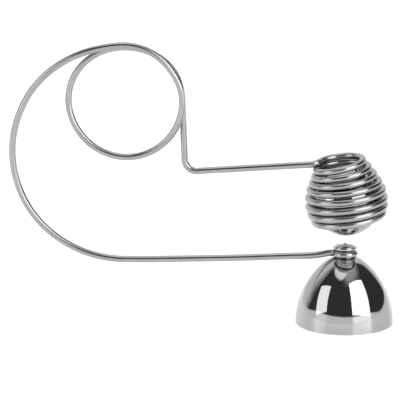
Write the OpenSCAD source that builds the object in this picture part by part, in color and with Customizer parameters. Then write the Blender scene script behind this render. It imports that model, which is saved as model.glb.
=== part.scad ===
// Spring-wire egg topper. One bent wire carries a bell at one end and a heavy ball at the other.
// The bell sits on the pointed end of an egg, the ball is lifted and let go, and its blow cracks
// the shell in a clean ring along the bell's rim.
// The origin is the centre of the bell's mouth, +Z runs up through the bell, and the arms run to -X.

/* [Wire] */
// Diameter of the spring wire
wire_d = 2.4; // [2.2:0.1:2.5]
// Centreline radius of the eye round the screw
eye_r = 3.45; // [3.4:0.05:3.7]
// Centreline radius of the tight bend where an arm enters a coil
entry_r = 2.4; // [2.2:0.1:2.8]
// How far the eye turns round the screw before its cut end, in degrees
eye_turn = 303.8; // [290:0.2:305]
// Centreline radius of the finger loop
loop_r = 20.7; // [19:0.1:22]
// Sideways step from the front turn of the finger loop to its back turn
loop_step = 2.55; // [2.55:0.05:3]
// Centreline radius of the corner between the riser and the upper arm
corner_r = 4.2; // [3.5:0.1:6]

/* [Arms] */
// Straight length of the lower arm
lower_arm_run = 65.5; // [60:0.5:70]
// Slope of the lower arm, in degrees
lower_arm_slope = 2.5; // [1.5:0.1:3.5]
// Radius of the back bow, from the lower arm up its left side
bow_low_r = 38.8; // [37:0.1:40]
// Radius of the back bow over its top
bow_top_r = 41; // [40:0.1:43]
// Straight length of the riser under the finger loop
riser_run = 22.5; // [20:0.1:24]
// Straight length of the upper arm
upper_arm_run = 41.5; // [40:0.1:42]
// Slope of the upper arm, in degrees
upper_arm_slope = 5.2; // [3:0.05:6]

/* [Striker] */
// Diameter of the steel ball
ball_d = 25; // [24.6:0.1:25.4]
// Number of turns of the beehive coil
coil_turns = 8.4; // [7.5:0.1:8.6]
// Spacing of the coil's turns along its outline
coil_pitch = 2.885; // [2.85:0.005:2.95]
// Extra opening between two turns near the ball's middle
coil_split = 0.38; // [0:0.02:0.6]
// Half angle of the cone above the ball, in degrees
cone_angle = 27; // [24:0.5:30]
// Length of the cone's outline above the ball
cone_run = 10; // [8:0.1:11]

/* [Bell] */
// Outer diameter of the bell's rim
bell_d = 35.3; // [34:0.1:37]
// Outer height of the bell
bell_h = 24.9; // [24.5:0.1:26]
// Radius of the bell's crown
crown_r = 11.5; // [11:0.1:12.5]
// Thickness of the bell's sheet
bell_wall = 0.9; // [0.8:0.1:1.2]

/* [Screw] */
// Thread diameter
screw_d = 4; // [3.5:0.1:4]
// Length of the screw under its head
screw_run = 10; // [9.5:0.5:12]
// Diameter of the screw head
head_d = 8.7; // [8:0.1:9.2]
// Height of the screw head
head_h = 2.4; // [2:0.1:2.6]
// Nut width across its flats
nut_af = 7; // [6.5:0.1:7.5]
// Nut height
nut_h = 3.2; // [2.8:0.1:3.4]
// Outer diameter of the washer under the bell
washer_d = 9; // [8.5:0.1:10]
// Thickness of that washer
washer_h = 0.8; // [0.6:0.1:1]

/* [Hidden] */
$fn = 96;
wire_r = wire_d / 2;
touch = 0.02;                 // air left between metal faces that meet

// The bell's outline is two arcs that meet smoothly, a side arc level with the mouth
// and a crown on the axis.
crown_z = bell_h - crown_r;
side_r = (pow(bell_d / 2, 2) + pow(crown_z, 2) - pow(crown_r, 2)) / (bell_d - 2 * crown_r);
side_x = bell_d / 2 - side_r;
arc_meet_z = crown_z * side_r / (side_r - crown_r);

// The eye rests on the crown, and the screw clamps it from above.
eye_z = crown_z + sqrt(pow(crown_r + wire_r, 2) - pow(eye_r, 2)) + touch;
head_z = eye_z + wire_r + touch;
washer_top = crown_z + sqrt(pow(crown_r - bell_wall, 2) - pow(washer_d / 2, 2)) - touch;
nut_top = washer_top - washer_h - touch;
hole_d = screw_d + 0.3;

// The wire is followed from the eye as a traveller on the plane y = 0. A place on it is
// [x, z, heading], with the heading in degrees from +X towards +Z. A bend turns left when its
// angle is positive.
function ahead(s, run) = [s[0] + run * cos(s[2]), s[1] + run * sin(s[2]), s[2]];
function hub(s, r, turn) = let (side = s[2] + 90 * sign(turn)) [s[0] + r * cos(side), s[1] + r * sin(side)];
function round_bend(s, r, turn) = let (c = hub(s, r, turn), a = s[2] - 90 * sign(turn) + turn)
  [c[0] + r * cos(a), c[1] + r * sin(a), s[2] + turn];

// A radial arm turns aside by entry_r and then runs round a coil of radius r, starting here.
function entry_angle(r) = 180 - asin(entry_r / (r + entry_r));
function entry_x(r) = -sqrt(pow(r + entry_r, 2) - pow(entry_r, 2));

neck_slope = 14;              // the wire leaves the eye this steeply, round a tight bend
neck_bend_r = 4;
neck_ease_r = 41;             // and eases into the lower arm round a wide one
bow_change = 70.9;            // heading where the bow's two radii meet
riser_lean = 2.3;             // the riser leans this much out from the vertical

s_eye = [entry_x(eye_r), eye_z, 180];
s_lift = round_bend(s_eye, neck_bend_r, neck_slope);
s_arm = round_bend(s_lift, neck_ease_r, lower_arm_slope - neck_slope);
s_bow = ahead(s_arm, lower_arm_run);
low_turn = bow_change - 180 - lower_arm_slope;
s_bow_top = round_bend(s_bow, bow_low_r, low_turn);
s_loop = round_bend(s_bow_top, bow_top_r, -bow_change);
loop_c = hub(s_loop, loop_r, -1);

// Hand bending leaves the bow and the loop a little out of round: [degrees along, radius added].
function eased(k) = let (c = max(0, min(1, k))) c * c * (3 - 2 * c);
function give(t, marks) = let (i = max([for (k = [0:len(marks) - 2]) t > marks[k][0] ? k : 0]),
  a = marks[i], b = marks[i + 1]) a[1] + (b[1] - a[1]) * eased((t - a[0]) / (b[0] - a[0]));
top_dip = -0.68;
bow_give = [[25, 0], [60, 0.28], [95, 0.18], [122, 0], [172, -0.85], [s_bow[2], top_dip]];
loop_give = [[0, top_dip], [50, -0.62], [86, 0], [262, 0], [358, -1.75], [432, -0.34], [450, -0.3]];

// The bow after turning through t degrees, from the lower arm's end.
function bow_at(t) = let (low = t < -low_turn, bow_r = low ? bow_low_r : bow_top_r,
  c = hub(low ? s_bow : s_bow_top, bow_r, -1), r = bow_r + give(t, bow_give), a = s_bow[2] + 90 - t)
  [c[0] + r * cos(a), 0, c[1] + r * sin(a)];

// Clock degrees round the finger loop, from its top and clockwise.
front_end = 270;              // end of the front turn, at nine o'clock
tail_start = 420;             // two o'clock on the second turn
loop_end = 450 - riser_lean;
step_from = 125;              // the wire steps to the back between these two
step_to = 318;
function loop_at(t) = let (r = loop_r + give(t, loop_give),
  back = eased((t - step_from) / (step_to - step_from)))
  [loop_c[0] + r * sin(t), loop_step * back, loop_c[1] + r * cos(t)];

loop_last = loop_at(loop_end);
s_riser = [loop_last[0], loop_last[2], riser_lean - 90];
s_corner = ahead(s_riser, riser_run);

// From the corner on, the wire runs in an upright plane that swings back to the bell's axis.
swing = atan(loop_step / -s_corner[0]);
corner_turn = 90 - riser_lean + upper_arm_slope;
s_upper = round_bend([0, 0, s_corner[2]], corner_r, corner_turn);
s_coil = ahead(s_upper, upper_arm_run);

// The coil lies on a sphere round the ball and then on a cone that leaves it smoothly. Its turns
// lean back towards the arm, most of all at the top.
coil_gap = 0.1;               // air between the wire and the ball
coil_r = ball_d / 2 + wire_r + coil_gap;
lean_top = 10.9;
lean_middle = 4.3;
lean_low = 6.6;
tip_forward = 1.9;            // the coil's axis tips this much towards the front
split_turn = 4.4;             // the wider opening comes on after this many turns
cone_r0 = coil_r * cos(cone_angle) - cone_run * sin(cone_angle);
cone_h0 = coil_r * sin(cone_angle) + cone_run * cos(cone_angle);
coil_start = entry_angle(cone_r0);
lead_in = coil_start - 90;
function coil_lean(k) = lookup(k, [[0, lean_top], [coil_turns / 2, lean_middle], [coil_turns, lean_low]]);
function coil_outline(s) = s < cone_run
  ? [cone_r0 + s * sin(cone_angle), cone_h0 - s * cos(cone_angle)]
  : let (a = cone_angle - (s - cone_run) / coil_r * 180 / PI) coil_r * [cos(a), sin(a)];
function leaned(p, lean) = let (x = p[0] * cos(lean) - p[2] * sin(lean),
  z = p[0] * sin(lean) + p[2] * cos(lean))
  [x, p[1] * cos(tip_forward) - z * sin(tip_forward), p[1] * sin(tip_forward) + z * cos(tip_forward)];
function helix_at(t) = let (k = t / 360, s = k * coil_pitch + coil_split * max(0, min(1, k - split_turn)),
  m = coil_outline(s), a = coil_start - t) leaned([m[0] * cos(a), m[0] * sin(a), m[1]], coil_lean(k));
function lead_at(t) = let (a = coil_start - 180 + t)
  leaned([entry_x(cone_r0) + entry_r * cos(a), entry_r + entry_r * sin(a), cone_h0], lean_top);
function coil_at(t) = t < 0 ? lead_at(t) : helix_at(t);
// The ball's centre, placed so that the coil's lead-in meets the upper arm.
ball_c = [s_coil[0], 0, s_coil[1]] - coil_at(-lead_in);

function unit(v) = v / norm(v);

// A tube of wire through the given places, with a ring at each, square to the way it goes there.
module tube(places, ways, up, sides) {
  last = len(places) - 1;
  points = [for (i = [0:last]) let (a = unit(cross(ways[i], up)), b = unit(cross(a, ways[i])))
    for (k = [0:sides - 1]) places[i] + wire_r * (cos(360 * k / sides) * a + sin(360 * k / sides) * b)];
  walls = [for (i = [0:last - 1]) for (k = [0:sides - 1]) let (n = (k + 1) % sides)
    [i * sides + k, i * sides + n, (i + 1) * sides + n, (i + 1) * sides + k]];
  caps = [[for (k = [sides - 1:-1:0]) k], [for (k = [0:sides - 1]) last * sides + k]];
  polyhedron(points, concat(walls, caps));
}

// The same along path(t), with the given number of steps.
module tube_along(path, first, last, steps, up, sides) {
  nudge = 0.01;
  marks = [for (i = [0:steps]) first + (last - first) * i / steps];
  tube([for (t = marks) path(t)], [for (t = marks) path(t + nudge) - path(t - nudge)], up, sides);
}

// A straight run of wire from place s, on the plane y = 0.
module run(s, length) {
  translate([s[0], 0, s[1]]) rotate([0, 90 - s[2], 0]) cylinder(h = length, d = wire_d);
}

// The upper arm, the coil and the ball are drawn in the plane that swings back to the bell's axis.
module past_corner() {
  translate([s_corner[0], loop_step, s_corner[1]]) rotate([0, 0, -swing]) children();
}

module bell_outline(inset) {
  intersection() {
    union() {
      intersection() {
        translate([side_x, 0]) circle(r = side_r - inset, $fn = 180);
        square([bell_d, arc_meet_z]);
      }
      intersection() {
        translate([0, crown_z]) circle(r = crown_r - inset);
        translate([0, arc_meet_z - bell_wall]) square([bell_d, bell_h]);
      }
    }
    translate([0, -bell_wall]) square([bell_d, 2 * bell_h]);
  }
}

module bell() {
  color("silver") difference() {
    rotate_extrude() bell_outline(0);
    rotate_extrude() bell_outline(bell_wall);
    cylinder(h = bell_h + 1, d = hole_d);
  }
}

module bell_screw() {
  drive_w = 0.9;              // one arm of the cross recess
  drive_run = 3.8;
  drive_depth = 0.9;
  seat_d = 6.4;               // the head's underside draws in to this
  rim_low = 0.72;             // the head is widest between these two heights
  rim_h = 1.2;
  dome_r = (pow(head_d / 2, 2) + pow(head_h - rim_h, 2)) / (2 * (head_h - rim_h));
  color("gainsboro") difference() {
    union() {
      translate([0, 0, head_z]) rotate_extrude() intersection() {
        polygon([[0, 0], [seat_d / 2, 0], [head_d / 2, rim_low], [head_d / 2, head_h], [0, head_h]]);
        translate([0, head_h - dome_r]) circle(r = dome_r, $fn = 180);
      }
      translate([0, 0, head_z - screw_run]) cylinder(h = screw_run + 0.1, d = screw_d);
    }
    for (a = [0, 90]) translate([0, 0, head_z + head_h - drive_depth / 2]) rotate([0, 0, a + 20])
      cube([drive_run, drive_w, drive_depth + 0.01], center = true);
  }
}

module inner_washer() {
  color("silver") translate([0, 0, washer_top - washer_h]) difference() {
    cylinder(h = washer_h, d = washer_d);
    translate([0, 0, -1]) cylinder(h = washer_h + 2, d = hole_d);
  }
}

module inner_nut() {
  color("gainsboro") translate([0, 0, nut_top - nut_h]) difference() {
    cylinder(h = nut_h, d = nut_af / cos(30), $fn = 6);
    translate([0, 0, -1]) cylinder(h = nut_h + 2, d = screw_d + 0.1);
  }
}

module neck_eye() {
  start = entry_angle(eye_r);
  turns = [for (i = [0:40]) start - eye_turn * (1 - i / 40)];
  side_bend = [for (i = [1:8]) start - 180 - (start - 90) * i / 8];
  rise = concat([for (i = [1:4]) round_bend(s_eye, neck_bend_r, neck_slope * i / 4)],
    [for (i = [1:8]) round_bend(s_lift, neck_ease_r, (lower_arm_slope - neck_slope) * i / 8)]);
  places = concat(
    [for (a = turns) [eye_r * cos(a), eye_r * sin(a), eye_z]],
    [for (a = side_bend) [s_eye[0] + entry_r * cos(a), entry_r + entry_r * sin(a), eye_z]],
    [for (s = rise) [s[0], 0, s[1]]]);
  ways = concat(
    [for (a = turns) [-sin(a), cos(a), 0]],
    [for (a = side_bend) [sin(a), -cos(a), 0]],
    [for (s = rise) [cos(s[2]), 0, sin(s[2])]]);
  color("silver") tube(places, ways, [0, 0, 1], 12);
}

module lower_arm() {
  color("silver") run(s_arm, lower_arm_run);
}

module back_bow() {
  color("silver") tube_along(function (t) bow_at(t), 0, s_bow[2], 46, [0, 1, 0], 12);
}

module finger_loop() {
  color("silver") tube_along(function (t) loop_at(t), 0, front_end, 54, [0, 1, 0], 12);
}

module loop_crossover() {
  color("silver") tube_along(function (t) loop_at(t), front_end, tail_start, 30, [0, 1, 0], 12);
}

module loop_tail() {
  color("silver") tube_along(function (t) loop_at(t), tail_start, loop_end, 8, [0, 1, 0], 12);
}

module riser() {
  down = [cos(s_riser[2]), 0, sin(s_riser[2])];
  corner = [for (i = [1:14]) round_bend([0, 0, s_corner[2]], corner_r, corner_turn * i / 14)];
  places = concat([[s_riser[0], loop_step, s_riser[1]], [s_corner[0], loop_step, s_corner[1]]],
    [for (s = corner) [s_corner[0] + s[0] * cos(swing), loop_step - s[0] * sin(swing), s_corner[1] + s[1]]]);
  ways = concat([down, down],
    [for (s = corner) [cos(s[2]) * cos(swing), -cos(s[2]) * sin(swing), sin(s[2])]]);
  color("silver") tube(places, ways, [0, 1, 0], 12);
}

module upper_arm() {
  color("silver") past_corner() run(s_upper, upper_arm_run);
}

module beehive_coil() {
  steps = round(36 * coil_turns + 8);
  color("silver") past_corner() translate(ball_c)
    tube_along(function (t) coil_at(t), -lead_in, 360 * coil_turns, steps, [0, 0, 1], 8);
}

module striker_ball() {
  color("lightsteelblue") past_corner() translate(ball_c) sphere(d = ball_d);
}

bell();
bell_screw();
inner_washer();
inner_nut();
neck_eye();
lower_arm();
back_bow();
finger_loop();
loop_crossover();
loop_tail();
riser();
upper_arm();
beehive_coil();
striker_ball();
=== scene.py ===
# %% [markdown]
# # A spring-wire egg topper
# The tool has six pieces: one long bent wire, a bell, a heavy steel ball held in a coil of the same
# wire, and a screw with a washer and a nut that clamp the wire to the bell.
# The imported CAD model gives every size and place. Here each piece is drawn again with the detail
# that light shows on polished steel: cut ends, a screw recess, threads and rounded edges.

# %% Load the frame
import bmesh
import bpy
import math
import numpy as np
from mathutils import Matrix, Vector


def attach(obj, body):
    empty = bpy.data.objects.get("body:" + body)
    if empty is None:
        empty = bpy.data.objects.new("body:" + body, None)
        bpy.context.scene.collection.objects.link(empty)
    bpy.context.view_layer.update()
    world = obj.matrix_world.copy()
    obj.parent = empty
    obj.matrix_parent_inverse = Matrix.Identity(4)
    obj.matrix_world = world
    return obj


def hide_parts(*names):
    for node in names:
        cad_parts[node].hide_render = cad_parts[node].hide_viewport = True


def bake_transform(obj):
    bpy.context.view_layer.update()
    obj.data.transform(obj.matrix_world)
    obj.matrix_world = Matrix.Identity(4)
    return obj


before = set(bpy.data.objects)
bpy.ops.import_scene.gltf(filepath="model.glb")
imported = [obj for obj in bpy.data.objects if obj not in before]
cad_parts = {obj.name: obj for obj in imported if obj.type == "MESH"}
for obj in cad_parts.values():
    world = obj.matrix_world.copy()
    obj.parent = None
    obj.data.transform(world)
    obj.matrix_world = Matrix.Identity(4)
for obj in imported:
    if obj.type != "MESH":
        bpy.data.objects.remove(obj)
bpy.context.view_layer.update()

MM = 0.001

# %% [markdown]
# # The camera
# The tool is seen from a little above and slightly from the right, through a long lens, so the
# bell's mouth is a flat ellipse and the wires hardly change in width from front to back.

# %% Camera
camera = bpy.data.objects.new("camera", bpy.data.cameras.new("camera"))
bpy.context.scene.collection.objects.link(camera)
bpy.context.scene.camera = camera
camera.location = Vector((0.04168, -0.89507, 0.25803))
look_at = Vector((-0.0524, 0.0, 0.0440))
camera.rotation_mode = "QUATERNION"
camera.rotation_quaternion = (look_at - camera.location).to_track_quat("-Z", "Y")
camera.data.sensor_width = 36.0
camera.data.lens = 231.3
camera.data.clip_start, camera.data.clip_end = 0.01, 50.0
print("camera", round((look_at - camera.location).length, 3), "m away")

# %% [markdown]
# # Writing node trees as sums
# A node tree is easier to read as a formula. `Flow` wraps the output of one node, so that `1 - mask`
# or `a * b` adds the Math node it needs. A node group could hold such a sum too, but would hide it.

# %% Sums on sockets
class Flow:
    """The output of a node, which Python's own arithmetic works on."""

    def __init__(self, socket):
        self.socket = socket

    def math(self, operation, *others, first=None):
        values = (self, *others) if first is None else (first, self)
        return Tree(self.socket.id_data).add("ShaderNodeMath", {"operation": operation}, *values)

    def __add__(self, other):
        return self.math("ADD", other)

    def __sub__(self, other):
        return self.math("SUBTRACT", other)

    def __rsub__(self, other):
        return self.math("SUBTRACT", first=other)

    def __mul__(self, other):
        return self.math("MULTIPLY", other)

    def __truediv__(self, other):
        return self.math("DIVIDE", other)

    def __rtruediv__(self, other):
        return self.math("DIVIDE", first=other)

    def __neg__(self):
        return self.math("MULTIPLY", -1.0)

    def __abs__(self):
        return self.math("ABSOLUTE")

    __radd__ = __add__
    __rmul__ = __mul__


print("sums on sockets ready")

# %% [markdown]
# # One call for each node
# Adding a node by hand takes a line for the node, one for each setting and one for each link. `add`
# takes them all at once: the settings first, because they decide which sockets are switched on, then
# the values or links in the order of the sockets, or by name.

# %% Node trees
class Tree:
    """A node tree that grows by one node at each call of add."""

    def __init__(self, tree):
        self.tree = tree

    def add(self, kind, settings=None, *values, out=None, **named):
        node = self.tree.nodes.new(kind)
        for key, value in (settings or {}).items():
            setattr(node, key, value)
        sockets = [s for s in node.inputs if s.enabled]
        pairs = list(zip(sockets, values))
        for key, value in named.items():
            pairs.append((next(s for s in sockets if s.name == key.replace("_", " ")), value))
        for socket, value in pairs:
            if isinstance(value, Flow):
                self.tree.links.new(value.socket, socket)
            elif value is not None:
                socket.default_value = value
        found = [s for s in node.outputs if s.enabled and out in (None, s.name)]
        return Flow(found[0]) if found else None

    def step(self, value, low, high, at_low=0.0, at_high=1.0):
        """An eased step from at_low to at_high, as value goes from low to high."""
        return self.add("ShaderNodeMapRange", {"interpolation_type": "SMOOTHSTEP"},
                        value, low, high, at_low, at_high)

    def noise(self, place, scale, detail=2.0, roughness=0.5):
        return self.add("ShaderNodeTexNoise", {}, Vector=place, Scale=scale, Detail=detail,
                        Roughness=roughness)


print("node helpers ready")

# %% [markdown]
# # Sizes of the bent wire
# One hard spring wire, 2.4 mm thick, makes everything but the bell, the ball and the screw. Every
# bend is a circular arc, so the route can be followed like a turtle: a place and a heading, straight
# on for some millimetres, then round an arc. The bow and the loop are a little out of round, which
# `give` adds to their radii.

# %% Wire sizes, in millimetres
WIRE_R = 1.2
EYE_R, ENTRY_R, EYE_TURN = 3.45, 2.4, 303.8
LOOP_R, LOOP_STEP, CORNER_R = 20.7, 2.55, 4.2
ARM_RUN, ARM_SLOPE = 65.5, 2.5
BOW_LOW_R, BOW_TOP_R, BOW_CHANGE = 38.8, 41.0, 70.9
RISER_RUN, RISER_LEAN = 22.5, 2.3
UPPER_RUN, UPPER_SLOPE = 41.5, 5.2
NECK_R, NECK_SLOPE, NECK_EASE_R = 4.0, 14.0, 41.0
TOP_DIP = -0.68
BOW_GIVE = ((25, 0.0), (60, 0.28), (95, 0.18), (122, 0.0), (172, -0.85), (180 + ARM_SLOPE, TOP_DIP))
LOOP_GIVE = ((0, TOP_DIP), (50, -0.62), (86, 0.0), (262, 0.0), (358, -1.75), (432, -0.34),
             (450, -0.3))

BELL_D, BELL_H, CROWN_R, BELL_WALL = 35.3, 24.9, 11.5, 0.9
TOUCH = 0.02
CROWN_Z = BELL_H - CROWN_R
EYE_Z = CROWN_Z + math.sqrt((CROWN_R + WIRE_R) ** 2 - EYE_R ** 2) + TOUCH


def cosd(angle):
    return math.cos(math.radians(angle))


def sind(angle):
    return math.sin(math.radians(angle))


def eased(share):
    share = min(max(share, 0.0), 1.0)
    return share * share * (3 - 2 * share)


def give(turn, marks):
    """How far a bend strays from its circle here, eased between (degrees, millimetres) marks."""
    for (first, low), (second, high) in zip(marks, marks[1:]):
        if turn <= second or second == marks[-1][0]:
            return low + (high - low) * eased((turn - first) / (second - first))


print("eye centreline", round(EYE_Z, 3), "mm above the bell's mouth")

# %% [markdown]
# # Following the wire
# A state is x, z and heading on the upright plane through the bell's axis. The same three steps as
# in the CAD source give the same places, so the drawn wire lies exactly where the CAD solids are.

# %% The turtle
def ahead(state, run):
    x, z, way = state
    return (x + run * cosd(way), z + run * sind(way), way)


def hub(state, radius, turn):
    side = state[2] + math.copysign(90, turn)
    return (state[0] + radius * cosd(side), state[1] + radius * sind(side))


def round_bend(state, radius, turn):
    if turn == 0:
        return state
    x, z = hub(state, radius, turn)
    angle = state[2] - math.copysign(90, turn) + turn
    return (x + radius * cosd(angle), z + radius * sind(angle), state[2] + turn)


def bend_places(state, radius, turn, steps):
    return [round_bend(state, radius, turn * i / steps) for i in range(1, steps + 1)]


def entry_x(radius):
    """Where a straight wire starts to turn aside into a coil of this radius."""
    return -math.sqrt((radius + ENTRY_R) ** 2 - ENTRY_R ** 2)


def entry_angle(radius):
    return 180 - math.degrees(math.asin(ENTRY_R / (radius + ENTRY_R)))


at_eye = (entry_x(EYE_R), EYE_Z, 180.0)
at_neck = round_bend(at_eye, NECK_R, NECK_SLOPE)
at_arm = round_bend(at_neck, NECK_EASE_R, ARM_SLOPE - NECK_SLOPE)
at_bow = ahead(at_arm, ARM_RUN)
low_turn = BOW_CHANGE - 180 - ARM_SLOPE
at_bow_top = round_bend(at_bow, BOW_LOW_R, low_turn)
at_loop = round_bend(at_bow_top, BOW_TOP_R, -BOW_CHANGE)
LOOP_X, LOOP_Z = hub(at_loop, LOOP_R, -1)
print("finger loop centre", round(LOOP_X, 3), round(LOOP_Z, 3))

# %% [markdown]
# # From the bell to the side of the finger loop
# The first length of wire moves with the bell. It starts at the cut end of the eye round the screw,
# runs out as the lower arm, which sags a hair between its ends, climbs round the big bow and goes
# three quarters of the way round the finger loop.

# %% Places along the bell's wire
STEP_FROM, STEP_TO, SEAM = 125.0, 318.0, 270.0


def loop_place(turn):
    """A place on the finger loop, by its angle clockwise from the top."""
    back = LOOP_STEP * eased((turn - STEP_FROM) / (STEP_TO - STEP_FROM))
    radius = LOOP_R + give(turn, LOOP_GIVE)
    return (LOOP_X + radius * sind(turn), back, LOOP_Z + radius * cosd(turn))


def bow_place(turn):
    """A place on the bow, by how far it has turned from the end of the lower arm."""
    low = turn < -low_turn
    bow_r = BOW_LOW_R if low else BOW_TOP_R
    x, z = hub(at_bow if low else at_bow_top, bow_r, -1)
    radius, angle = bow_r + give(turn, BOW_GIVE), at_bow[2] + 90 - turn
    return (x + radius * cosd(angle), z + radius * sind(angle), None)


def sag(x):
    """How far the long arm hangs below its straight line."""
    return -0.4 * eased((x + 92) / 26) * (1 - eased((x + 45) / 32))


def bell_wire_places():
    start = entry_angle(EYE_R)
    eye = [start - EYE_TURN * (1 - i / 110) for i in range(111)]
    side = [start - 180 - (start - 90) * i / 16 for i in range(1, 17)]
    places = [(EYE_R * cosd(a), EYE_R * sind(a), EYE_Z) for a in eye]
    places += [(at_eye[0] + ENTRY_R * cosd(a), ENTRY_R + ENTRY_R * sind(a), EYE_Z) for a in side]
    flat = bend_places(at_eye, NECK_R, NECK_SLOPE, 6)
    flat += bend_places(at_neck, NECK_EASE_R, ARM_SLOPE - NECK_SLOPE, 20)
    flat += [ahead(at_arm, ARM_RUN * i / 60) for i in range(1, 61)]
    flat += [bow_place((180 + ARM_SLOPE) * i / 190) for i in range(1, 191)]
    places += [(x, 0.0, z + (sag(x) if z < LOOP_Z else 0.0)) for x, z, way in flat]
    places += [loop_place(SEAM * i / 180) for i in range(1, 181)]
    return np.array(places)


bell_wire_route = bell_wire_places()
print("bell wire", len(bell_wire_route), "places,",
      round(float(np.linalg.norm(np.diff(bell_wire_route, axis=0), axis=1).sum()), 1), "mm long")

# %% [markdown]
# # From the loop to the coil round the ball
# The second length carries the striking ball. It finishes the finger loop behind the first turn,
# drops down the riser, turns a tight corner into the upper arm and winds into a beehive coil. The
# coil's outline is a short cone that runs smoothly into a sphere a little larger than the ball.

# %% Coil sizes, in millimetres and degrees
BALL_D, COIL_TURNS, COIL_PITCH, COIL_SPLIT, SPLIT_TURN = 25.0, 8.4, 2.885, 0.38, 4.4
CONE_ANGLE, CONE_RUN, COIL_GAP = 27.0, 10.0, 0.1
LEANS = ((0, 10.9), (COIL_TURNS / 2, 4.3), (COIL_TURNS, 6.6))
TIP_FORWARD = 1.9
COIL_R = BALL_D / 2 + WIRE_R + COIL_GAP
CONE_R0 = COIL_R * cosd(CONE_ANGLE) - CONE_RUN * sind(CONE_ANGLE)
CONE_H0 = COIL_R * sind(CONE_ANGLE) + CONE_RUN * cosd(CONE_ANGLE)
COIL_START = entry_angle(CONE_R0)
LEAD_IN = COIL_START - 90


def leaned(place, lean):
    """A place turned back by lean towards the arm, then tipped forward."""
    x = place[0] * cosd(lean) - place[2] * sind(lean)
    z = place[0] * sind(lean) + place[2] * cosd(lean)
    y = place[1]
    return np.array((x, y * cosd(TIP_FORWARD) - z * sind(TIP_FORWARD),
                     y * sind(TIP_FORWARD) + z * cosd(TIP_FORWARD)))


def coil_outline(run):
    """Radius and height of the coil, by the distance along its outline."""
    if run < CONE_RUN:
        return CONE_R0 + run * sind(CONE_ANGLE), CONE_H0 - run * cosd(CONE_ANGLE)
    angle = CONE_ANGLE - math.degrees((run - CONE_RUN) / COIL_R)
    return COIL_R * cosd(angle), COIL_R * sind(angle)


def coil_place(turn):
    """A place on the coil. Below 0 it is the tight bend that leads in from the arm."""
    if turn < 0:
        a = COIL_START - 180 + turn
        return leaned((entry_x(CONE_R0) + ENTRY_R * cosd(a), ENTRY_R + ENTRY_R * sind(a), CONE_H0),
                      LEANS[0][1])
    k = turn / 360
    radius, height = coil_outline(k * COIL_PITCH + COIL_SPLIT * min(max(k - SPLIT_TURN, 0), 1))
    lean = float(np.interp(k, [n for n, _ in LEANS], [a for _, a in LEANS]))
    a = COIL_START - turn
    return leaned((radius * cosd(a), radius * sind(a), height), lean)


print("coil radius", COIL_R, "cone top radius", round(CONE_R0, 3))

# %% [markdown]
# # Where the ball hangs
# The upper arm and the coil lie on an upright plane that starts at the corner and swings back to the
# bell's axis, because the loop's second turn lies behind the first. The coil's place follows from
# the end of the arm, and the ball's from the coil, so the ball can't drift out of its coil.

# %% Places along the ball's wire
LOOP_END = 450 - RISER_LEAN
at_riser = (loop_place(LOOP_END)[0], loop_place(LOOP_END)[2], RISER_LEAN - 90)
at_corner = ahead(at_riser, RISER_RUN)
SWING = math.degrees(math.atan(LOOP_STEP / -at_corner[0]))
CORNER_TURN = 90 - RISER_LEAN + UPPER_SLOPE
at_upper = round_bend((0.0, 0.0, at_corner[2]), CORNER_R, CORNER_TURN)
at_coil = ahead(at_upper, UPPER_RUN)
ball_in_plane = np.array((at_coil[0], 0.0, at_coil[1])) - coil_place(-LEAD_IN)


def past_corner(place):
    """From the plane of the upper arm, which swings back to the bell's axis, to the frame."""
    x, y, z = place
    return (at_corner[0] + x * cosd(SWING) + y * sind(SWING),
            LOOP_STEP - x * sind(SWING) + y * cosd(SWING), at_corner[1] + z)


def ball_wire_places():
    places = [loop_place(SEAM + (LOOP_END - SEAM) * i / 120) for i in range(121)]
    places += [(x, LOOP_STEP, z) for x, z, way in
               [ahead(at_riser, RISER_RUN * i / 24) for i in range(1, 25)]]
    flat = bend_places((0.0, 0.0, at_corner[2]), CORNER_R, CORNER_TURN, 26)
    flat += [ahead(at_upper, UPPER_RUN * i / 40) for i in range(1, 41)]
    places += [past_corner((x, 0.0, z)) for x, z, way in flat]
    lead = [-LEAD_IN * (1 - i / 16) for i in range(1, 17)]
    coil = [360 * COIL_TURNS * i / 1100 for i in range(1, 1101)]
    places += [past_corner(ball_in_plane + coil_place(t)) for t in lead + coil]
    return np.array(places)


ball_wire_route = ball_wire_places()
BALL_PLACE = np.array(past_corner(ball_in_plane))
print("ball at", BALL_PLACE.round(3), "mm; ball wire", len(ball_wire_route), "places")

# %% [markdown]
# # Steel finishes
# Everything is steel, and what tells the pieces apart is how each was finished: spun and buffed,
# drawn, ground, or plated. Pictures of scratches could be wrapped round the pieces, but noise needs
# no seams and no files. Each material is metal all over, and its nodes change only colour, roughness
# and bump.

# %% Material helper
def steel(name, paint):
    """A metal whose changing sockets come from paint(tree)."""
    material = bpy.data.materials.new(name)
    material.use_nodes = True
    material.node_tree.nodes.clear()
    tree = Tree(material.node_tree)
    shader = tree.add("ShaderNodeBsdfPrincipled", {}, Metallic=1.0, **paint(tree))
    tree.add("ShaderNodeOutputMaterial", {}, Surface=shader)
    print("material", name, len(material.node_tree.nodes), "nodes")
    return material


def grey_between(tree, factor, dark, light):
    """A colour between two greys."""
    return tree.add("ShaderNodeMix", {"data_type": "RGBA"}, Factor=factor,
                    A=(dark, dark, dark * 1.01, 1), B=(light, light, light * 1.005, 1))


def grain_of(tree):
    """The piece's own grain coordinates: round it in x and y, along it in z."""
    return tree.add("ShaderNodeAttribute", {"attribute_name": "grain"}, out="Vector")


def stretched(tree, place, scale):
    return tree.add("ShaderNodeMapping", {"vector_type": "POINT"}, Vector=place, Scale=scale)


def bumped(tree, height, depth):
    return tree.add("ShaderNodeBump", {}, Strength=1.0, Distance=depth, Height=height)


# %% [markdown]
# # The wire's finish
# Wire is pulled through a die, which leaves fine lines along it and a dull shine. Noise in space
# would cut across the wire, so it reads the wire's own grain attribute instead: round the wire in x
# and y, along it in z. Shrinking z by a large scale draws the noise out into lines.

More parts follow.
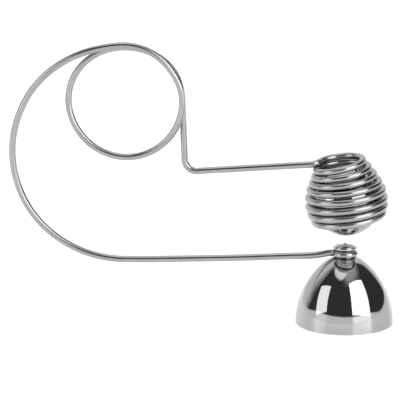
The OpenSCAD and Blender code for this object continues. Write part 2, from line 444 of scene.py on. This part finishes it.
# %% Drawn spring wire
def drawn_wire(tree):
    grain = grain_of(tree)
    lines = tree.noise(stretched(tree, grain, (1.0, 1.0, 60.0)), 7.0, 3.0, 0.6)
    blotches = tree.noise(stretched(tree, grain, (0.4, 0.4, 90.0)), 1.0, 2.0)
    worn = tree.step(blotches, 0.42, 0.66)
    return {
        "Base_Color": grey_between(tree, lines * 0.6 + worn * 0.4, 0.41, 0.52),
        "Roughness": 0.17 + lines * 0.12 + worn * 0.05,
        "Normal": bumped(tree, lines, 0.000004),
    }


wire_steel = steel("drawn_wire_steel", drawn_wire)

# %% [markdown]
# # The bell's finish
# The bell is spun from sheet and buffed to a mirror outside. Its faint rings and slow waves show only
# as small shifts of what it reflects, so they go to bump and roughness. Inside it was never buffed,
# and an attribute that is 1 on the inner wall makes that side duller.

# %% Mirror finish of the bell
def spun_mirror(tree):
    grain = grain_of(tree)
    place = tree.add("ShaderNodeTexCoord", {}, out="Object")
    rings = tree.noise(stretched(tree, grain, (0.5, 0.5, 2600.0)), 1.0, 2.0, 0.6)
    waves = tree.noise(place, 70.0, 1.0)
    smears = tree.step(tree.noise(place, 240.0, 4.0, 0.6), 0.45, 0.75)
    inside = tree.add("ShaderNodeAttribute", {"attribute_name": "inside"}, out="Fac")
    height = rings * 0.02 + waves
    return {
        "Base_Color": grey_between(tree, smears * 0.5 + inside * 0.3, 0.49, 0.45),
        "Roughness": 0.034 + rings * 0.02 + smears * 0.02 + inside * 0.16,
        "Normal": bumped(tree, height, 0.00002),
    }


bell_steel = steel("spun_mirror_steel", spun_mirror)

# %% [markdown]
# # The small parts' finishes
# The ball is ground, and a little scuffed by use. The screw is plated, with fine pits in
# the plating. The washer and the nut keep the rings that a lathe tool leaves. The first two have no
# direction, so they read Object coordinates; the rings follow the grain attribute.

# %% Ground ball, plated screw, washer and nut
def ground_ball(tree):
    place = tree.add("ShaderNodeTexCoord", {}, out="Object")
    scuffs = tree.step(tree.noise(place, 900.0, 5.0, 0.65), 0.5, 0.72)
    return {
        "Base_Color": grey_between(tree, scuffs, 0.47, 0.42),
        "Roughness": 0.09 + scuffs * 0.06,
        "Normal": bumped(tree, tree.noise(place, 500.0, 3.0), 0.000006),
    }


def plated(tree):
    place = tree.add("ShaderNodeTexCoord", {}, out="Object")
    pits = tree.step(tree.noise(place, 2200.0, 3.0, 0.7), 0.52, 0.7)
    return {
        "Base_Color": grey_between(tree, pits, 0.64, 0.48),
        "Roughness": 0.10 + pits * 0.12,
        "Normal": bumped(tree, tree.noise(place, 1500.0, 3.0), 0.00002),
    }


def turned_face(tree):
    grain = grain_of(tree)
    rings = tree.noise(stretched(tree, grain, (0.6, 0.6, 9000.0)), 1.0, 3.0, 0.6)
    return {
        "Base_Color": grey_between(tree, rings, 0.42, 0.52),
        "Roughness": 0.22 + rings * 0.16,
        "Normal": bumped(tree, rings, 0.00001),
    }


ball_steel = steel("ground_ball_steel", ground_ball)
screw_plate = steel("plated_screw_steel", plated)
washer_steel = steel("washer_turned_steel", turned_face)
nut_steel = steel("nut_turned_steel", turned_face)

# %% [markdown]
# # From a route to a round wire
# A wire is a circle swept along its route. The Geometry Nodes tree below turns the route's edges into
# a curve, sweeps the circle along it and closes both ends. Close to the cut end the circle shrinks
# a little, which rounds the edge as a file does. The tree also stores how far along and round the
# wire each point is, for the drawn lines of the finish.

# %% The wire tree
def wire_tree():
    group = bpy.data.node_groups.new("round_wire", "GeometryNodeTree")
    sockets = (("Route", "NodeSocketGeometry"), ("Wire Radius", "NodeSocketFloat"),
               ("Sides", "NodeSocketInt"), ("Cut Place", "NodeSocketFloat"),
               ("Cut Rounding", "NodeSocketFloat"), ("Finish", "NodeSocketMaterial"))
    for name, kind in sockets:
        group.interface.new_socket(name=name, in_out="INPUT", socket_type=kind)
    group.interface.new_socket(name="Wire", in_out="OUTPUT", socket_type="NodeSocketGeometry")
    tree = Tree(group)
    given = group.nodes.new("NodeGroupInput")
    given = {s.name: Flow(s) for s in given.outputs if s.name}
    curve = tree.add("GeometryNodeMeshToCurve", {}, Mesh=given["Route"])
    run = tree.add("GeometryNodeSplineParameter", {}, out="Length")
    curve = tree.add("GeometryNodeStoreNamedAttribute", {"data_type": "FLOAT", "domain": "POINT"},
                     Geometry=curve, Name="run", Value=run)
    ring = tree.add("GeometryNodeCurvePrimitiveCircle", {"mode": "RADIUS"},
                    Resolution=given["Sides"], Radius=given["Wire Radius"])
    spot = tree.add("GeometryNodeInputPosition")
    ring = tree.add("GeometryNodeStoreNamedAttribute",
                    {"data_type": "FLOAT_VECTOR", "domain": "POINT"},
                    Geometry=ring, Name="ring", Value=spot)
    short = abs(run - given["Cut Place"]) / given["Cut Rounding"]
    short = 1 - short.math("MINIMUM", 1.0)
    shrink = (1 - short * short * 0.4).math("SQRT")
    wire = tree.add("GeometryNodeCurveToMesh", {}, Curve=curve, Profile_Curve=ring, Scale=shrink,
                    Fill_Caps=True)
    stored_ring = tree.add("GeometryNodeInputNamedAttribute", {"data_type": "FLOAT_VECTOR"},
                           Name="ring", out="Attribute")
    stored_run = tree.add("GeometryNodeInputNamedAttribute", {"data_type": "FLOAT"},
                          Name="run", out="Attribute")
    unit = tree.add("ShaderNodeVectorMath", {"operation": "NORMALIZE"}, stored_ring)
    along = tree.add("ShaderNodeCombineXYZ", {}, Z=stored_run)
    grain = tree.add("ShaderNodeVectorMath", {"operation": "ADD"}, unit, along)
    wire = tree.add("GeometryNodeStoreNamedAttribute",
                    {"data_type": "FLOAT_VECTOR", "domain": "POINT"},
                    Geometry=wire, Name="grain", Value=grain)
    wire = tree.add("GeometryNodeRealizeInstances", {}, Geometry=wire)
    wire = tree.add("GeometryNodeSetMaterial", {}, Geometry=wire, Material=given["Finish"])
    tree.add("NodeGroupOutput", {}, wire)
    return group


round_wire = wire_tree()
print("wire tree", len(round_wire.nodes), "nodes")

# %% [markdown]
# # Making a piece from a tree
# The tree is only a recipe. The evaluated object is copied into a plain mesh, its edges are marked
# sharp where two faces meet at a steep angle, and the direction of the faces is checked by the sign
# of the volume that they enclose.

# %% Piece helpers
SHARP = math.radians(38)


def enclosed(mesh):
    """The volume inside a closed mesh, in cubic millimetres; below zero when inside out."""
    made = bmesh.new()
    made.from_mesh(mesh)
    volume = made.calc_volume(signed=True) / MM ** 3
    open_edges = sum(1 for edge in made.edges if len(edge.link_faces) != 2)
    made.free()
    return volume, open_edges


def finished(name, mesh):
    """A shown object of this mesh, smooth but for its sharp edges, with faces pointing out."""
    volume, open_edges = enclosed(mesh)
    if volume < 0:
        mesh.flip_normals()
    mesh.polygons.foreach_set("use_smooth", [True] * len(mesh.polygons))
    mesh.set_sharp_from_angle(angle=SHARP)
    mesh.update()
    piece = bpy.data.objects.new(name, mesh)
    bpy.context.scene.collection.objects.link(piece)
    print(name, len(mesh.polygons), "faces,", round(abs(volume), 1), "mm3,", open_edges, "open")
    return piece


def filed_end(route):
    """The route with close places by its first one, for a rounded cut."""
    way = (route[1] - route[0]) / np.linalg.norm(route[1] - route[0])
    close = [route[0] + way * d for d in (0.03, 0.07, 0.12, 0.18, 0.25)]
    return np.vstack([route[:1], close, route[1:]])


def wire_piece(name, route, cut_first, sides=28):
    """A wire along the route, with its cut end first or last."""
    route = filed_end(route) if cut_first else filed_end(route[::-1])[::-1]
    mesh = bpy.data.meshes.new(name + "_route")
    mesh.from_pydata([tuple(p * MM) for p in route], [(i, i + 1) for i in range(len(route) - 1)], [])
    source = bpy.data.objects.new(name + "_route", mesh)
    bpy.context.scene.collection.objects.link(source)
    length = float(np.linalg.norm(np.diff(route, axis=0), axis=1).sum()) * MM
    sizes = {"Wire Radius": WIRE_R * MM, "Sides": sides, "Cut Place": 0.0 if cut_first else length,
             "Cut Rounding": 0.25 * MM, "Finish": wire_steel}
    modifier = source.modifiers.new("round wire", "NODES")
    modifier.node_group = round_wire
    for item in round_wire.interface.items_tree:
        if item.name in sizes:
            modifier[item.identifier] = sizes[item.name]
    depsgraph = bpy.context.evaluated_depsgraph_get()
    swept = bpy.data.meshes.new_from_object(source.evaluated_get(depsgraph))
    source.modifiers.remove(modifier)
    bpy.data.objects.remove(source)
    return finished(name, swept)


# %% [markdown]
# # The two lengths of wire
# The real wire is one piece that springs in the finger loop. The bell's length rides on the bell's body.
# The ball's length stays where it was drawn and rides on no body.

# %% Wire pieces
bell_wire = wire_piece("wire_with_bell_eye", bell_wire_route, cut_first=True)
ball_wire = wire_piece("wire_with_ball_coil", ball_wire_route, cut_first=False)

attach(bell_wire, "bell_arm")
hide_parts("neck_eye", "lower_arm", "back_bow", "finger_loop")

loop_left = (LOOP_X - LOOP_R) * MM
loop_right = (LOOP_X + LOOP_R) * MM
LOOP_Z * MM
LOOP_Z * MM
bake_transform(ball_wire)
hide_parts("loop_crossover", "loop_tail", "riser", "upper_arm", "beehive_coil")

# %% [markdown]
# # Turned pieces
# A bell, a washer, a nut and a screw all have an outline that goes round an axis. `turned` takes the
# outline as radius and height, and a small function may move each point, which is how the screw gets
# its thread and its cross recess, and the nut its six flats.

# %% The lathe
def turned(name, outline, around, finish, ring=True, reshape=None, inside=None):
    """A piece from an outline of (radius, height) in millimetres. A ring closes on itself;
    otherwise the outline starts and ends on the axis."""
    outline = np.array(outline, float)
    rows = outline if ring else outline[1:-1]
    steps = np.linalg.norm(np.diff(rows, axis=0, prepend=rows[:1]), axis=1).cumsum()
    turns = np.radians(np.arange(around) * 360.0 / around)
    points, grain, inner = [], [], []
    for (radius, height), run in zip(rows, steps):
        for turn in turns:
            r, z = reshape(radius, height, turn) if reshape else (radius, height)
            points.append((r * math.cos(turn) * MM, r * math.sin(turn) * MM, z * MM))
            grain.append((math.cos(turn), math.sin(turn), run * MM))
            inner.append(float(inside(radius, height)) if inside else 0.0)
    faces = []
    for i in range(len(rows) if ring else len(rows) - 1):
        j = (i + 1) % len(rows)
        for k in range(around):
            n = (k + 1) % around
            faces.append((i * around + k, i * around + n, j * around + n, j * around + k))
    if not ring:
        last = (len(rows) - 1) * around
        for row, (r, z) in ((0, outline[0]), (last, outline[-1])):
            if reshape:
                r, z = reshape(0.0, z, 0.0)
            points.append((0.0, 0.0, z * MM))
            grain.append((0.0, 0.0, 0.0))
            inner.append(0.0)
            for k in range(around):
                n = (k + 1) % around
                first, second = (n, k) if row == 0 else (k, n)
                faces.append((row + first, row + second, len(points) - 1))
    mesh = bpy.data.meshes.new(name)
    mesh.from_pydata(points, [], faces)
    stored = mesh.attributes.new("grain", "FLOAT_VECTOR", "POINT")
    stored.data.foreach_set("vector", np.array(grain, np.float32).ravel())
    stored = mesh.attributes.new("inside", "FLOAT", "POINT")
    stored.data.foreach_set("value", np.array(inner, np.float32))
    mesh.materials.append(finish)
    return finished(name, mesh)


def arc(centre, radius, first, last, steps):
    """Places on an arc, by angles from the radius's direction towards up."""
    return [(centre[0] + radius * cosd(first + (last - first) * i / steps),
             centre[1] + radius * sind(first + (last - first) * i / steps))
            for i in range(steps + 1)]


# %% [markdown]
# # The bell
# The bell sits on the egg and its rim cracks the shell. It is spun from sheet less than a
# millimetre thick. Its outline is a long side arc that stands upright at the rim and a tighter
# crown, which meet without a kink. The edge of the rim is rounded, and the crown has a hole.

# %% Bell
side_r = ((BELL_D / 2) ** 2 + CROWN_Z ** 2 - CROWN_R ** 2) / (BELL_D - 2 * CROWN_R)
side_x = BELL_D / 2 - side_r
meet = math.degrees(math.asin(CROWN_Z / (side_r - CROWN_R)))
HOLE_R, LIP = 2.15, 0.22
inner_crown = CROWN_R - BELL_WALL
outer_top = math.degrees(math.acos(HOLE_R / CROWN_R))
inner_top = math.degrees(math.acos(HOLE_R / inner_crown))
foot = math.degrees(math.asin(LIP / side_r))
inner_side = side_r - BELL_WALL
bell_outline = arc((BELL_D / 2 - LIP, LIP), LIP, -90, -foot, 8)
bell_outline += arc((side_x, 0), side_r, foot, meet, 70)
bell_outline += arc((0, CROWN_Z), CROWN_R, meet, outer_top, 50)[1:]
bell_outline += arc((0, CROWN_Z), inner_crown, inner_top, meet, 30)
bell_outline += arc((side_x, 0), inner_side, meet, foot, 44)[1:]
bell_outline += arc((BELL_D / 2 - BELL_WALL + LIP, LIP), LIP, 180 + foot, 270, 8)
wall_middle = (side_r + inner_side) / 2


def on_inner_wall(radius, height):
    """True for the outline's inner side."""
    if height > CROWN_Z + CROWN_R * sind(meet):
        return math.hypot(radius, height - CROWN_Z) < CROWN_R - BELL_WALL / 2
    return math.hypot(radius - side_x, height) < wall_middle


bell = turned("bell_mirror", bell_outline, 224, bell_steel, inside=on_inner_wall)
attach(bell, "bell_arm")
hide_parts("bell")

# %% [markdown]
# # The ball
# The heavy ball gives the blow. A ball with poles shows pinched reflections there, so this one is a
# cube whose faces are cut into even squares and pushed out onto the sphere.

# %% Ball
def ball_mesh(name, centre, radius, cuts, finish):
    made = bmesh.new()
    marks = [math.tan(math.pi / 4 * (2 * i / cuts - 1)) for i in range(cuts + 1)]
    for axis in range(3):
        for sign in (-1, 1):
            grid = {}
            for i, a in enumerate(marks):
                for j, b in enumerate(marks):
                    way = Vector((0, 0, 0))
                    way[axis], way[(axis + 1) % 3], way[(axis + 2) % 3] = sign, a, b
                    grid[i, j] = made.verts.new(centre + way.normalized() * radius)
            for i in range(cuts):
                for j in range(cuts):
                    square = [grid[i, j], grid[i + 1, j], grid[i + 1, j + 1], grid[i, j + 1]]
                    made.faces.new(square if sign > 0 else square[::-1])
    bmesh.ops.remove_doubles(made, verts=made.verts, dist=0.00001)
    mesh = bpy.data.meshes.new(name)
    made.to_mesh(mesh)
    made.free()
    mesh.materials.append(finish)
    return finished(name, mesh)


ball = ball_mesh("striking_ball", Vector(BALL_PLACE * MM), BALL_D / 2 * MM, 44, ball_steel)
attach(ball, "striker_arm")
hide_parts("striker_ball")

# %% [markdown]
# # The screw
# A pan-head screw clamps the wire's eye onto the crown. Its head has a low dome and a cross recess
# whose arms get shallower outwards, and its shank has a metric thread that the nut runs on.

# %% Screw sizes in millimetres, and its shape
HEAD_Z = EYE_Z + WIRE_R + TOUCH
HEAD_D, HEAD_H, HEAD_EDGE, SCREW_R, SCREW_RUN = 8.7, 2.4, 1.2, 2.0, 10.0
SEAT_R, HEAD_LOW = 3.2, 0.72
THREAD_PITCH, THREAD_DEPTH = 0.7, 0.38
RECESS_W, RECESS_REACH, RECESS_DEPTH, RECESS_TURN = 0.95, 1.9, 0.9, 20.0
dome_r = ((HEAD_D / 2) ** 2 + (HEAD_H - HEAD_EDGE) ** 2) / (2 * (HEAD_H - HEAD_EDGE))
TIP_Z = HEAD_Z - SCREW_RUN


def recess(radius, turn):
    """Depth of the cross recess at this place of the head."""
    turn = turn - math.radians(RECESS_TURN)
    p, q = abs(radius * math.cos(turn)), abs(radius * math.sin(turn))
    depth = 0.0
    for along, across in ((p, q), (q, p)):
        narrow = RECESS_W / 2 * (1 - 0.22 * min(along / RECESS_REACH, 1))
        wall = 1 - eased((across - narrow + 0.07) / 0.14)
        end = 1 - eased((along - RECESS_REACH + 0.12) / 0.2)
        depth = max(depth, wall * end * RECESS_DEPTH * (1 - 0.62 * min(along / RECESS_REACH, 1)))
    return depth


def screw_shape(radius, height, turn):
    if height > HEAD_Z + HEAD_EDGE - 0.05 and radius < HEAD_D / 2 - 0.6:
        return radius, height - recess(radius, turn)
    if TIP_Z + 0.1 < height < HEAD_Z - 0.2 and radius > 1:
        phase = (height / THREAD_PITCH - turn / (2 * math.pi)) % 1.0
        ridge = eased((abs(phase - 0.5) * 2 - 0.12) / 0.76)
        taper = eased((height - TIP_Z) / 0.8)
        return radius - THREAD_DEPTH * (1 - ridge * taper), height
    return radius, height


print("screw from", round(TIP_Z, 2), "to", round(HEAD_Z + HEAD_H, 2), "mm")

# %% [markdown]
# # The screw's outline
# The outline runs from the tip up the shank, out under the head, whose underside draws in to its
# seat, and over the dome back to the axis. The rows along the shank are close together, since the
# thread is cut into them. Head and shank could be two joined shapes, but one outline stays closed.

# %% Screw
head_outline = [(0.0, TIP_Z), (0.7, TIP_Z), (1.35, TIP_Z), (1.6, TIP_Z + 0.08)]
head_outline += [(SCREW_R, TIP_Z + 0.12 + 0.07 * i) for i in range(136)]
head_outline += [(SCREW_R, HEAD_Z), (2.6, HEAD_Z), (SEAT_R - 0.12, HEAD_Z), (SEAT_R, HEAD_Z + 0.04)]
for i in range(1, 6):
    share = i / 6
    head_outline.append((SEAT_R + (HEAD_D / 2 - SEAT_R) * sind(90 * share) ** 1.15,
                         HEAD_Z + 0.04 + (HEAD_LOW + 0.1) * share))
head_outline += [(HEAD_D / 2, HEAD_Z + HEAD_LOW + 0.2), (HEAD_D / 2, HEAD_Z + HEAD_EDGE - 0.2)]
for i in range(6):
    share = (i + 1) / 6
    head_outline.append((HEAD_D / 2 - 0.34 * share ** 1.6, HEAD_Z + HEAD_EDGE - 0.2 + 0.282 * share ** 0.6))
for i in range(1, 73):
    r = (HEAD_D / 2 - 0.34) * (1 - i / 73)
    head_outline.append((r, HEAD_Z + HEAD_H - dome_r + math.sqrt(dome_r ** 2 - r ** 2)))
head_outline.append((0.0, HEAD_Z + HEAD_H))
screw = turned("cross_head_screw", head_outline, 144, screw_plate, ring=False,
               reshape=screw_shape)
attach(screw, "bell_arm")
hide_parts("bell_screw")

# %% [markdown]
# # The washer and the nut inside the bell
# Under the crown a flat washer spreads the load and a hexagon nut holds the screw. The nut's corners
# are cut by a cone on both faces, so its height follows from how far out each point is.

# %% Washer and nut
WASHER_D, WASHER_H, NUT_AF, NUT_H = 9.0, 0.8, 7.0, 3.2
washer_top = CROWN_Z + math.sqrt(inner_crown ** 2 - (WASHER_D / 2) ** 2) - TOUCH
nut_top = washer_top - WASHER_H - TOUCH
nut_foot = nut_top - NUT_H
washer_foot = washer_top - WASHER_H
soft = 0.15
washer_outline = arc((WASHER_D / 2 - soft, washer_foot + soft), soft, -90, 0, 4)
washer_outline += arc((WASHER_D / 2 - soft, washer_top - soft), soft, 0, 90, 4)
washer_outline += arc((HOLE_R + soft, washer_top - soft), soft, 90, 180, 4)
washer_outline += arc((HOLE_R + soft, washer_foot + soft), soft, 180, 270, 4)
washer = turned("washer_inside_bell", washer_outline, 96, washer_steel)

CONE_CUT = 3.35


def nut_shape(radius, height, turn):
    if radius < CONE_CUT + 0.01:
        return radius, height
    flat = NUT_AF / 2 / math.cos(turn % math.radians(60) - math.radians(30))
    cut = (flat - CONE_CUT) * math.tan(math.radians(28))
    return flat, nut_foot + cut if height < nut_foot + NUT_H / 2 else nut_top - cut


nut_outline = [(2.3, nut_foot), (CONE_CUT, nut_foot), (3.8, nut_foot + 0.3), (3.8, nut_top - 0.3),
               (CONE_CUT, nut_top), (2.3, nut_top), (2.05, nut_top - 0.25), (2.05, nut_foot + 0.25)]
nut = turned("nut_inside_bell", nut_outline, 120, nut_steel, reshape=nut_shape)

for piece, node, slot in ((washer, "inner_washer", "washer_steel"), (nut, "inner_nut", "nut_steel")):
    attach(piece, "bell_arm")
    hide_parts(node)

# %% [markdown]
# # The table
# Mirror steel shows the room more than itself, so the table matters twice: the tool stands on it, and
# the foot of the bell and the underside of every wire reflect it. It has a slight sheen, and a glow
# that is a little stronger as seen directly, so that the picture's ground is white without the
# table's reflection growing too bright.

# %% Floor
floor_mesh = bpy.data.meshes.new("table")
HALF = 6.0
floor_mesh.from_pydata([(-HALF, -HALF, 0), (HALF, -HALF, 0), (HALF, HALF, 0), (-HALF, HALF, 0)],
                       [], [(0, 1, 2, 3)])
floor = bpy.data.objects.new("table", floor_mesh)
floor.location.z = -0.00005
bpy.context.scene.collection.objects.link(floor)

pale = bpy.data.materials.new("pale_table")
pale.use_nodes = True
pale.node_tree.nodes.clear()
tree = Tree(pale.node_tree)
seen = tree.add("ShaderNodeLightPath", {}, out="Is Camera Ray")
sheen = tree.add("ShaderNodeMix", {"data_type": "RGBA"}, Factor=seen, A=(0.78, 0.78, 0.78, 1),
                 B=(0.9, 0.9, 0.9, 1))
paint = tree.add("ShaderNodeBsdfPrincipled", {}, Base_Color=(0.22, 0.22, 0.22, 1), Roughness=0.32,
                 Specular_IOR_Level=0.3, Emission_Color=sheen, Emission_Strength=1.0)
tree.add("ShaderNodeOutputMaterial", {}, Surface=paint)
floor_mesh.materials.append(pale)
print("table", 2 * HALF, "m wide")

# %% [markdown]
# # The room
# The room is a pale wall behind the tool and round to its left, a pale ceiling, a dark space in front,
# and a low pale edge all round, higher in front, with a brighter stretch near the foot of each soft
# box. A picture of a room would do the same, but here it is a formula on the bearing and height of
# each direction, so each edge can be moved alone. The dark space makes the deep bands on the bell.
# Seen directly, and not in a reflection, the room is plain white.

# %% Room
room = bpy.data.worlds.new("room")
bpy.context.scene.world = room
room.use_nodes = True
room.node_tree.nodes.clear()
tree = Tree(room.node_tree)
way = tree.add("ShaderNodeTexCoord", {}, out="Generated")
split = tree.tree.nodes.new("ShaderNodeSeparateXYZ")
tree.tree.links.new(way.socket, split.inputs[0])
east, north, up = (Flow(s) for s in split.outputs)
bearing = east.math("ARCTAN2", -north) * (180 / math.pi)   # 0 towards the front, + to the right
height = up.math("ARCSINE") * (180 / math.pi)
wall_right = tree.step(bearing, 138, 150)
wall_left = 1 - tree.step(bearing, -118, -92)
wall = wall_right.math("MAXIMUM", wall_left)
ceiling_from = tree.step(bearing, -25, 45, 60.0, 74.0)
ceiling = tree.step(height, ceiling_from, ceiling_from + 6)
haze = tree.step(height, 50, 66) * tree.step(bearing, -10, 25)
table_top = tree.step(abs(bearing), 60, 105, 10.5, 4.0)
skirting = 1 - tree.step(height, table_top - 2, table_top + 0.5)
glow = 0.05 + wall * 0.80
glow = glow + (0.5 - glow) * haze * (1 - wall)
glow = glow + (1.2 - glow) * ceiling
under_right = tree.step(bearing, 20, 28) * (1 - tree.step(bearing, 66, 74))
under_left = tree.step(bearing, -72, -64) * (1 - tree.step(bearing, -44, -36))
glow = glow + (0.92 + under_right * 0.7 + under_left * 0.22 - glow) * skirting
seen = tree.add("ShaderNodeLightPath", {}, out="Is Camera Ray")
glow = glow + (1 - glow) * seen
light = tree.add("ShaderNodeBackground", {}, Color=(1, 1, 1, 1), Strength=glow)
tree.add("ShaderNodeOutputWorld", {}, light)
print("room", len(room.node_tree.nodes), "nodes")

# %% [markdown]
# # The soft boxes
# Two soft boxes make the bright upright bands on the bell. Each is an area lamp, tilted and rolled as
# on a stand, so its reflection leans as it should. Shining planes would light just as well, but a
# lamp is sampled directly, which keeps the shadows clean, and it isn't seen by the camera itself.

# %% Soft boxes
def soft_box(name, bearing, tilt, roll, half_wide, low, high, radiance):
    """A soft box one metre from the bell, on a plane that faces it from a bearing and tilt. It reaches
    half_wide degrees to each side and from low to high degrees up, and its top rolls sideways."""
    back = Vector((sind(bearing) * cosd(tilt), -cosd(bearing) * cosd(tilt), sind(tilt)))
    across = Vector((cosd(bearing), sind(bearing), 0))
    up = back.cross(across) * cosd(roll) + across * sind(roll)
    foot, top = math.tan(math.radians(low - tilt)), math.tan(math.radians(high - tilt))
    lamp = bpy.data.lights.new(name, "AREA")
    lamp.shape = "RECTANGLE"
    lamp.size = 2 * math.tan(math.radians(half_wide))
    lamp.size_y = (top - foot) / cosd(roll)
    lamp.energy = radiance * math.pi * lamp.size * lamp.size_y
    box = bpy.data.objects.new(name, lamp)
    box.location = back + up * ((top + foot) / 2 / cosd(roll))
    box.rotation_mode = "QUATERNION"
    box.rotation_quaternion = Matrix((up.cross(back), up, back)).transposed().to_quaternion()
    box.visible_camera = False
    bpy.context.scene.collection.objects.link(box)
    print(name, round(lamp.size, 2), "by", round(lamp.size_y, 2), "m")
    return box


soft_box("right_soft_box", 47, 20, 9, 22.5, 10, 57, 2.3)
soft_box("left_soft_box", -61, 26, -21, 14.2, 9.8, 43, 1.55)

bpy.context.scene.view_settings.view_transform = "Standard"
